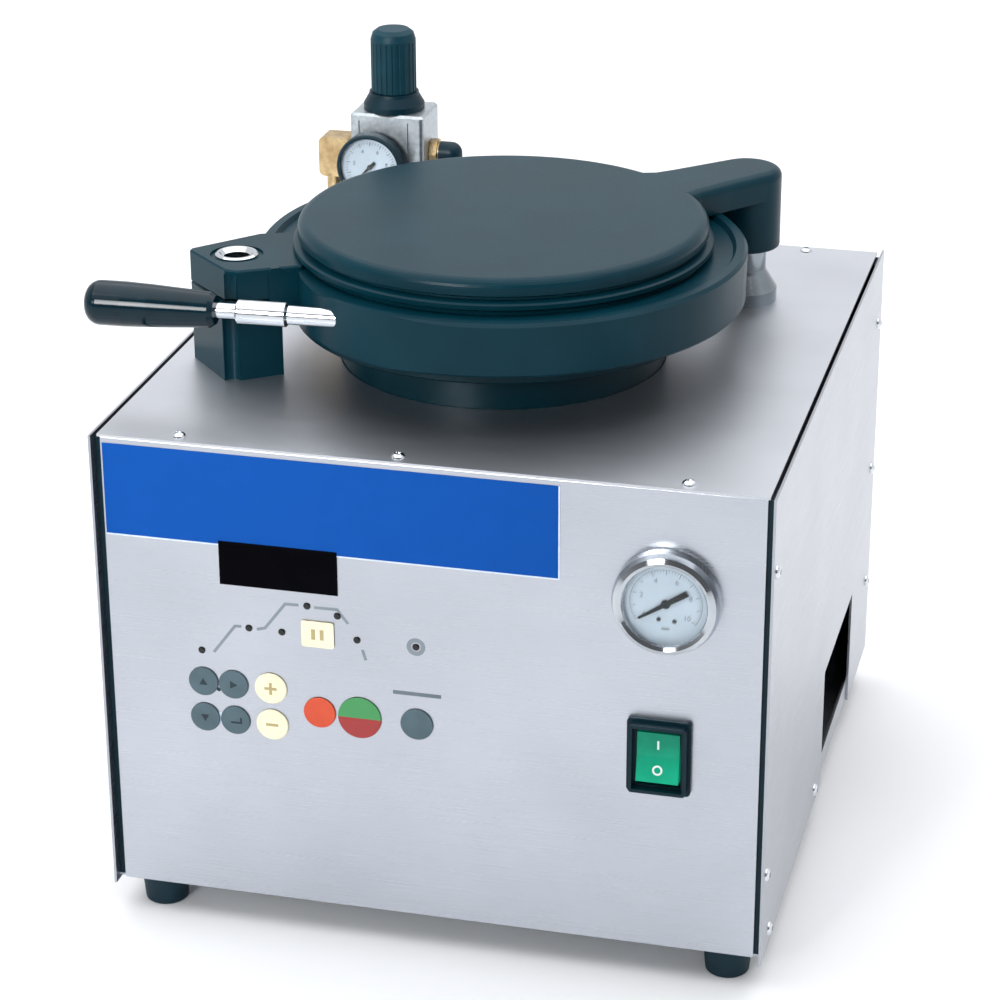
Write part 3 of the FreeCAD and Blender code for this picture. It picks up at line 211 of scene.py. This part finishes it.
def circuit_board():
    # Glass-fibre epoxy board under green solder lacquer: glossy, with the weave just showing at 0.6 mm.
    return finish("green_lacquered_board", ("0d4a2c", "135a38"), (0.3, 0.4), (0.6, 0.6, 0.6), 0.01, 0.5, 14.0)


def heater_sheet():
    # Stainless sheath of a mica band heater, rolled round and browned by heat: dull, warm grey.
    return finish("heat_browned_stainless", ("8d8880", "a39d92"), (0.35, 0.5), (30.0, 30.0, 0.5), 0.008, 0.3, 30.0, 1.0)


def matt_backdrop():
    # Seamless white backdrop paper: matt, so that it only catches soft shadows.
    return finish("matt_white_backdrop_paper", ("f4f5f6", "f7f8f9"), (0.85, 0.9), (2.0, 2.0, 2.0), 0.01, 0.5, 400.0)


def lit_green_rocker():
    # Translucent green polycarbonate with a neon lamp behind it: it glows from inside, most of all
    # towards its lower end, where the lamp sits.
    mat = moulded_plastic("lit_green_polycarbonate", ("03745a", "078a6c"), (0.16, 0.24), Specular_IOR_Level=0.2)
    low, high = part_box("rocker_button")
    place = add(mat, "TexCoord").outputs["Object"]
    height = add(mat, "SeparateXYZ", {"Vector": place}).outputs["Z"]
    glow = add(mat, "MapRange", {"Value": height, "From Min": high[2] - 2 * MM, "From Max": low[2] + 4 * MM,
                                 "To Min": 0.03, "To Max": 0.3})
    mat.node_tree.links.new(glow.outputs["Result"], shader_of(mat).inputs["Emission Strength"])
    shader_of(mat).inputs["Emission Color"].default_value = linear("0ccf9c")
    return mat


def green_over_red_film():
    # Key film of polyester, screen-printed in two colours that meet on a level line: green above, red
    # below, with a clean edge.
    mat = printed_film("green_over_red_key_film", ("3f9053", "439658"))
    low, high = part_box("key_start")
    split = (low[2] + high[2]) / 2
    edge = 0.2 * MM
    place = add(mat, "TexCoord").outputs["Object"]
    height = add(mat, "SeparateXYZ", {"Vector": place}).outputs["Z"]
    above = add(mat, "MapRange", {"Value": height, "From Min": split - edge, "From Max": split + edge})
    tone = add(mat, "Mix", {0: above.outputs["Result"], 6: linear("9c2f2e"), 7: linear("3f9053")}, data_type="RGBA")
    mat.node_tree.links.new(tone.outputs[2], shader_of(mat).inputs["Base Color"])
    return mat


steel_front = brushed_stainless("brushed_stainless_sheet_front", "x", ("b9bdc5", "c1c5cd"), (0.26, 0.36))
# All three are the same brushed stainless. The side and base sheets take darker tones than the front as painted shade.
# The top sheet takes lighter ones as painted light from the overhead softbox.
steel_side_painted_shade = brushed_stainless("brushed_stainless_sheet_side_painted_shade", "y", ("aaadb4", "b2b5bc"), (0.26, 0.36))
steel_top_painted_light = brushed_stainless("brushed_stainless_sheet_top_painted_light", "x", ("c3c6cc", "cdd0d6"), (0.37, 0.45))
zinc = zinc_plated_sheet()
coat = powder_coated_aluminium("petrol_powder_coat_on_aluminium", ("022934", "042f3b"))
# Darker copy of the same powder coat for the vessel under the ring: painted shade.
coat_vessel_painted_shade = powder_coated_aluminium("petrol_powder_coat_on_vessel_painted_shade", ("022029", "03252e"))
bright = turned_steel("turned_polished_steel", ("cfd4d8", "d9dde1"), (0.07, 0.15))
# The hinge post's turned steel takes darker tones than the bright steel: a painted dark reflection of the surroundings
# it mirrors.
post_steel_painted_dark_reflection = turned_steel("turned_steel_painted_dark_reflection", ("7f878d", "8f979c"), (0.1, 0.2))
chrome = turned_steel("polished_stainless_bezel", ("b9bec4", "c3c8cd"), (0.05, 0.1))
rubber = moulded_rubber()
seal = silicone_seal()
phenolic = polished_phenolic()
# Black nylon for the frame, collar, elbow, inlet and gauge case. On the corner posts the same black is painted shade in
# the gaps between the panels.
black_nylon_and_painted_gap_shade = moulded_plastic("black_nylon_and_painted_gap_shade_material", ("03202a", "052834"), (0.34, 0.44), Specular_IOR_Level=0.2)
knob_plastic = moulded_plastic("dark_petrol_acetal", ("03303c", "063845"), (0.42, 0.52), Specular_IOR_Level=0.2)
lamp_lens = moulded_plastic("smoked_polycarbonate_lens", ("05080a", "090d10"), (0.12, 0.2))
label_blue = printed_film("blue_polyester_film", ("034a9d", "054ca1"), Specular_IOR_Level=0.1)
label_edge = printed_film("pale_blue_polyester_film", ("c8d6e8", "d6e2f0"))
display = tinted_acrylic()
key_slate = printed_film("slate_key_film", ("41565f", "4a606a"))
key_cream = printed_film("cream_key_film", ("efe4c0", "f4ebcc"))
key_orange = printed_film("orange_key_film", ("c8431f", "d04e2b"))
key_two = green_over_red_film()
ink_dark = screen_ink("dark_petrol_screen_ink", ("10242c", "162c35"))
ink_tan = screen_ink("tan_screen_ink", ("a89868", "b3a474"))
ink_grey = screen_ink("grey_screen_ink", ("78838b", "828c94"))
ink_slate = screen_ink("slate_screen_ink", ("5f6b73", "68747c"))
ink_white = screen_ink("white_screen_ink", ("dfeee8", "e8f4ef"))
ink_black = screen_ink("black_screen_ink", ("0c1216", "12191e"))
dial_white = painted_dial()
pointer_black = screen_ink("black_painted_aluminium", ("071318", "0b1a20"))
glass = clear_glass()
brass = turned_brass()
cast_alloy = die_cast_zinc()
board = circuit_board()
band = heater_sheet()
rocker_green = lit_green_rocker()

MATERIAL_OF = {
    steel_front: ("front_panel", "rear_panel"),
    steel_side_painted_shade: ("left_side_panel", "right_side_panel", "base_plate"),
    steel_top_painted_light: ("top_plate",),
    zinc: ("mounting_screws", "vessel_skirt", "hinge_post_nut", "front_gauge_case",
           "front_gauge_clamp", "regulator_bracket", "power_supply"),
    coat: ("lid_casting", "lock_ring", "lock_block"),
    coat_vessel_painted_shade: ("pressure_vessel",),
    bright: ("case_screws", "lock_ear_bush", "lever_rod"),
    post_steel_painted_dark_reflection: ("hinge_post",),
    chrome: ("front_gauge_bezel",),
    rubber: ("rubber_feet", "air_tube"),
    seal: ("lid_seal",),
    phenolic: ("lever_grip",),
    # On the corner posts this black is painted shade in the panel gaps, not their own colour.
    black_nylon_and_painted_gap_shade: ("corner_posts", "rocker_frame", "regulator_collar", "hose_elbow", "mains_inlet",
                   "regulator_gauge_case"),
    knob_plastic: ("regulator_knob",),
    label_blue: ("label_film",),
    display: ("display_window",),
    key_slate: ("key_program_up", "key_program_right", "key_program_down", "key_program_enter", "key_pressure"),
    key_cream: ("key_value_plus", "key_value_minus", "key_cycle_select"),
    key_orange: ("key_stop",),
    key_two: ("key_start",),
    lamp_lens: ("indicator_leds",),
    dial_white: ("front_gauge_dial", "regulator_gauge_dial"),
    pointer_black: ("front_gauge_needle", "regulator_gauge_needle"),
    glass: ("front_gauge_lens", "regulator_gauge_lens"),
    rocker_green: ("rocker_button",),
    brass: ("inlet_elbow", "outlet_nipple", "bulkhead_fitting", "solenoid_valve"),
    cast_alloy: ("regulator_body",),
    board: ("control_board",),
    band: ("heater_band",),
}


def dress_nodes():
    for mat, names in MATERIAL_OF.items():
        for name in names:
            for place in nodes[name].material_slots:
                place.material = mat


# Printed shapes, thin slabs on the front of what carries them

def slab(name, outlines, mat, body, thickness=PRINT_THICKNESS):
    """Thin printed shapes facing the front, from outlines of points on the carrying face."""
    mesh = bpy.data.meshes.new(name)
    build = bmesh.new()
    for outline in outlines:
        back = [build.verts.new(p) for p in outline]
        front = [build.verts.new(p + Vector((0, -thickness * MM, 0))) for p in outline]
        build.faces.new(front)
        for i in range(len(outline)):
            j = (i + 1) % len(outline)
            build.faces.new((back[i], back[j], front[j], front[i]))
    bmesh.ops.recalc_face_normals(build, faces=build.faces)
    build.to_mesh(mesh)
    build.free()
    piece = bpy.data.objects.new(name, mesh)
    bpy.context.scene.collection.objects.link(piece)
    piece.data.materials.append(mat)
    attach(piece, body)
    return piece


def circle(centre, radius, start=0.0, end=360.0, steps=40):
    """Points on an arc facing the front; angles run clockwise from the top."""
    count = steps if end - start >= 360.0 else steps + 1
    points = []
    for step in range(count):
        angle = math.radians(start + (end - start) * step / steps)
        points.append(centre + Vector((math.sin(angle), 0, math.cos(angle))) * radius * MM)
    return points


def ring_arc(centre, outer, inner, start=0.0, end=360.0, parts=60):
    """A flat ring, or an arc of one, as a row of four-sided outlines."""
    outlines = []
    for part in range(parts):
        first = start + (end - start) * part / parts
        last = start + (end - start) * (part + 1) / parts
        rim = circle(centre, outer, first, last, 1)
        hole = circle(centre, inner, first, last, 1)
        outlines.append([rim[0], rim[1], hole[1], hole[0]])
    return outlines


def stroke(points, width):
    """A line of a given width through points, with mitred corners, as one outline for each run."""
    runs = [(second - first).normalized() for first, second in zip(points, points[1:])]
    sides = [Vector((-run.z, 0, run.x)) for run in runs]
    edges = []
    for before, after in zip([sides[0]] + sides, sides + [sides[-1]]):
        edges.append((before + after) / (1 + before.dot(after)) * width * MM / 2)
    outlines = []
    for i in range(len(runs)):
        outlines.append([points[i] + edges[i], points[i + 1] + edges[i + 1],
                         points[i + 1] - edges[i + 1], points[i] - edges[i]])
    return outlines


def rectangle(centre, width, height):
    w, h = width * MM / 2, height * MM / 2
    return [centre + Vector((x, 0, z)) for x, z in ((-w, -h), (w, -h), (w, h), (-w, h))]


def bar_at(centre, radius, angle, length, width):
    """A short bar pointing at the centre, at an angle clockwise from the top."""
    out = Vector((math.sin(math.radians(angle)), 0, math.cos(math.radians(angle))))
    return stroke([centre + out * (radius - length) * MM, centre + out * radius * MM], width)


def centre_front(node, proud=0.0):
    """The middle of a node's front face."""
    low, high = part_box(node)
    return Vector(((low[0] + high[0]) / 2, low[1] - proud * MM, (low[2] + high[2]) / 2))


def digits(name, text, centre, size, mat, body):
    """Plain numbers on a dial."""
    curve = bpy.data.curves.new(name, "FONT")
    curve.body = text
    curve.size = size * MM
    curve.align_x = "CENTER"
    curve.align_y = "CENTER"
    curve.extrude = 0.04 * MM
    piece = bpy.data.objects.new(name, curve)
    bpy.context.scene.collection.objects.link(piece)
    piece.rotation_euler = (math.radians(90), 0, 0)
    piece.location = centre
    bpy.context.view_layer.update()
    mesh = bpy.data.meshes.new_from_object(piece)
    mesh.transform(piece.matrix_world)
    bpy.data.objects.remove(piece)
    solid = bpy.data.objects.new(name, mesh)
    bpy.context.scene.collection.objects.link(solid)
    solid.data.materials.clear()
    solid.data.materials.append(mat)
    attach(solid, body)


def front_dial():
    """Scale of the front gauge: 0 to 10 over 270 degrees, with fine and main divisions."""
    low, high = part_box("front_gauge_dial")
    centre = Vector(((low[0] + high[0]) / 2, low[1], (low[2] + high[2]) / 2))
    fine = []
    for step in range(51):
        angle = -123.0 + 246.0 * step / 50
        main = step % 5 == 0
        fine += bar_at(centre, 20.6, angle, 3.0 if main else 1.7, 0.42 if main else 0.22)
    fine += ring_arc(centre, 20.8, 20.5, -123.0, 123.0)
    slab("front_gauge_scale", fine, ink_grey, "housing", 0.05)
    for step in range(0, 11, 2):
        angle = math.radians(-123.0 + 24.6 * step)
        place = centre + Vector((math.sin(angle), 0, math.cos(angle))) * 14.6 * MM - Vector((0, 0.05 * MM, 0))
        digits("front_gauge_number_%d" % step, str(step), place, 4.4, ink_grey, "housing")
    marks = [circle(centre + Vector((x * MM, 0, z * MM)), 1.35, steps=20) for x, z in ((-4.0, -10.0), (5.0, -10.5))]
    slab("front_gauge_dots", marks, ink_dark, "housing", 0.05)
    slab("front_gauge_unit_dash", [rectangle(centre - Vector((0, 0, 15.5 * MM)), 4.5, 1.2)], ink_grey,
         "housing", 0.05)


def regulator_dial():
    low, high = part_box("regulator_gauge_dial")
    centre = Vector(((low[0] + high[0]) / 2, low[1], (low[2] + high[2]) / 2))
    fine = []
    for step in range(41):
        angle = -135.0 + 270.0 * step / 40
        main = step % 4 == 0
        fine += bar_at(centre, 17.2, angle, 2.8 if main else 1.6, 0.4 if main else 0.25)
    slab("regulator_gauge_scale", fine, ink_black, "housing", 0.05)
    for step in range(0, 11, 2):
        angle = math.radians(-135.0 + 27.0 * step)
        place = centre + Vector((math.sin(angle), 0, math.cos(angle))) * 11.4 * MM - Vector((0, 0.05 * MM, 0))
        digits("regulator_gauge_number_%d" % step, str(step), place, 3.6, ink_black, "housing")


def process_curve():
    """Printed heating curve between the indicator lamps."""
    runs = [[(69.3, 160.5), (83.0, 179.0), (87.0, 179.2)], [(96.5, 178.4), (101.5, 179.8), (114.3, 196.7), (122.5, 196.9)],
            [(132.0, 196.4), (145.8, 196.6), (152.2, 188.2)], [(160.5, 172.5), (162.5, 166.0)]]
    outlines = []
    for run in runs:
        outlines += stroke([panel_point(x, z) for x, z in run], 1.8)
    slab("process_curve_print", outlines, ink_grey, "housing")


def legend_bar():
    slab("pressure_legend_bar", stroke([panel_point(178.5, 147.6), panel_point(207.5, 147.6)], 2.4), ink_slate,
         "housing")


def pressure_lamp_ring():
    low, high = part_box("indicator_leds")
    centre = Vector((high[0] - 2.2 * MM, front_y * MM, panel_point(0, 178.1).z))
    slab("pressure_lamp_ring", ring_arc(centre, 5.6, 2.9), ink_grey, "housing")


def key_prints():
    """Symbols on the keys: arrows on the slate ones, plus and minus, and two bars."""
    arrow = ((0.0, 2.6), (2.5, -1.9), (-2.5, -1.9))
    turns = {"key_program_up": 0, "key_program_right": 1, "key_program_down": 2}
    for node, turn in turns.items():
        centre = centre_front(node)
        angle = -math.pi / 2 * turn
        points = [centre + Vector((x * math.cos(angle) - z * math.sin(angle), 0,
                                   x * math.sin(angle) + z * math.cos(angle))) * MM for x, z in arrow]
        slab(node + "_arrow", [points], ink_dark, node.replace("key_", "") + "_key")
    centre = centre_front("key_program_enter")
    hook = [centre + Vector((x, 0, z)) * MM for x, z in ((3.6, 2.2), (3.6, -1.2), (-2.6, -1.2))]
    slab("key_program_enter_mark", stroke(hook, 1.3), ink_dark, "program_enter_key")
    for node, upright in (("key_value_plus", True), ("key_value_minus", False)):
        centre = centre_front(node)
        shapes = [rectangle(centre, 7.6, 1.7)]
        if upright:
            shapes += [rectangle(centre + Vector((0, 0, 2.35 * MM)), 1.7, 3.0),
                       rectangle(centre - Vector((0, 0, 2.35 * MM)), 1.7, 3.0)]
        slab(node + "_sign", shapes, ink_tan, node.replace("key_", "") + "_key")
    centre = centre_front("key_cycle_select")
    slab("key_cycle_select_mark", [rectangle(centre + Vector((x * MM, 0, 0)), 2.4, 6.6) for x in (-2.6, 2.6)],
         ink_tan, "cycle_select_key")


def rocker_marks():
    """Moulded bar and ring on the upper and lower halves of the rocker, which tilt apart."""
    low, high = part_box("rocker_button")
    middle = (low[0] + high[0]) / 2
    tilt = math.radians(ROCKER_TILT)
    bend = Vector((middle, (front_y + ROCKER_PIVOT - ROCKER_DEPTH * math.cos(tilt)) * MM,
                   (SWITCH_HEIGHT + ROCKER_DEPTH * math.sin(tilt)) * MM))
    slope = Vector((0, -math.sin(2 * tilt), -math.cos(2 * tilt)))

    def below(across, down):
        return bend + Vector((across * MM, 0, 0)) + slope * down * MM

    upper = [bend + Vector((x, 0, z)) * MM for x, z in ((-0.6, 5.0), (0.6, 5.0), (0.6, 10.5), (-0.6, 10.5))]
    lower = []
    for part in range(24):
        first = 2 * math.pi * part / 24
        last = 2 * math.pi * (part + 1) / 24
        lower.append([below(r * math.sin(a), 7.8 - r * math.cos(a))
                      for r, a in ((3.0, first), (3.0, last), (1.9, last), (1.9, first))])
    slab("rocker_marks", [upper] + lower, ink_white, "rocker")


def key_surround():
    """A light spot between the lower grey keys and a dark one between the upper."""
    slab("key_surround_spot", [circle(panel_point(71.8, 117.4), 3.5)], label_edge, "housing")
    slab("key_surround_dot", [circle(panel_point(71.3, 136.2), 1.3)], ink_dark, "housing")


def label_border():
    """Pale line that edges the blue film on its right and lower sides."""
    low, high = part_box("label_film")
    width = 0.9
    y = low[1]
    right = [Vector((high[0] - width * MM, y, low[2])), Vector((high[0], y, low[2])), Vector((high[0], y, high[2])),
             Vector((high[0] - width * MM, y, high[2]))]
    window_low, window_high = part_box("display_window")
    bottom = []
    for x0, x1 in ((low[0], window_low[0]), (window_high[0], high[0] - width * MM)):
        bottom.append([Vector((x0, y, low[2])), Vector((x1, y, low[2])), Vector((x1, y, low[2] + width * MM)),
                       Vector((x0, y, low[2] + width * MM))])
    slab("label_border", [right] + bottom, label_edge, "housing", 0.03)


dress_nodes()
front_dial()
regulator_dial()
process_curve()
legend_bar()
pressure_lamp_ring()
key_prints()
key_surround()
rocker_marks()
label_border()


# Floor, light and camera

def stage_floor():
    size = 9.0
    mesh = bpy.data.meshes.new("studio_floor")
    mesh.from_pydata([(-size, -size, 0), (size, -size, 0), (size, size, 0), (-size, size, 0)], [], [(0, 1, 2, 3)])
    floor = bpy.data.objects.new("studio_floor", mesh)
    bpy.context.scene.collection.objects.link(floor)
    floor.data.materials.append(matt_backdrop())


def soft_light(name, place, aim, size, power, spread=180.0):
    lamp = bpy.data.lights.new(name, "AREA")
    lamp.shape = "RECTANGLE"
    lamp.size, lamp.size_y = size
    lamp.energy = power
    lamp.spread = math.radians(spread)
    holder = bpy.data.objects.new(name, lamp)
    bpy.context.scene.collection.objects.link(holder)
    holder.location = place
    holder.rotation_euler = (Vector(aim) - Vector(place)).to_track_quat("-Z", "Y").to_euler()


def room_light():
    """Pale studio all round, falling off to a dim room behind the camera."""
    world = bpy.data.worlds.new("studio")
    world.use_nodes = True
    tree = world.node_tree
    direction = tree.nodes.new("ShaderNodeTexCoord").outputs["Generated"]
    parts = tree.nodes.new("ShaderNodeSeparateXYZ")
    tree.links.new(direction, parts.inputs[0])
    fall = tree.nodes.new("ShaderNodeMapRange")
    tree.links.new(parts.outputs["Y"], fall.inputs["Value"])
    fall.inputs["From Min"].default_value = -0.8
    fall.inputs["From Max"].default_value = -0.1
    fall.inputs["To Min"].default_value = DIM_ROOM
    fall.inputs["To Max"].default_value = PALE_STUDIO
    background = tree.nodes["Background"]
    background.inputs["Color"].default_value = linear("fbfcff")
    tree.links.new(fall.outputs["Result"], background.inputs["Strength"])
    bpy.context.scene.world = world


def photo_camera():
    lens = bpy.data.cameras.new("photo_camera")
    lens.lens = LENS
    lens.sensor_width = SENSOR
    lens.clip_end = 60.0
    camera = bpy.data.objects.new("photo_camera", lens)
    bpy.context.scene.collection.objects.link(camera)
    turn = (Matrix.Rotation(math.radians(CAMERA_YAW), 4, "Z")
            @ Matrix.Rotation(math.radians(90.0 - CAMERA_PITCH), 4, "X")
            @ Matrix.Rotation(math.radians(CAMERA_ROLL), 4, "Z"))
    camera.matrix_world = Matrix.Translation([c * MM for c in CAMERA_PLACE]) @ turn
    bpy.context.scene.camera = camera


stage_floor()
room_light()
soft_light("overhead_softbox", (0, 0.6, 3.0), (0, 0.6, 0), (4.5, 5.0), 108.0)
soft_light("key_softbox", (-1.6, -1.9, 2.6), (0, 0, 0.2), (1.8, 1.4), 8.0)
soft_light("gridded_softbox", (-0.6, -1.65, 0.96), (-0.25, -0.1, 0.42), (0.8, 0.6), 1.9, spread=40.0)
photo_camera()
bpy.context.scene.view_settings.view_transform = "Standard"
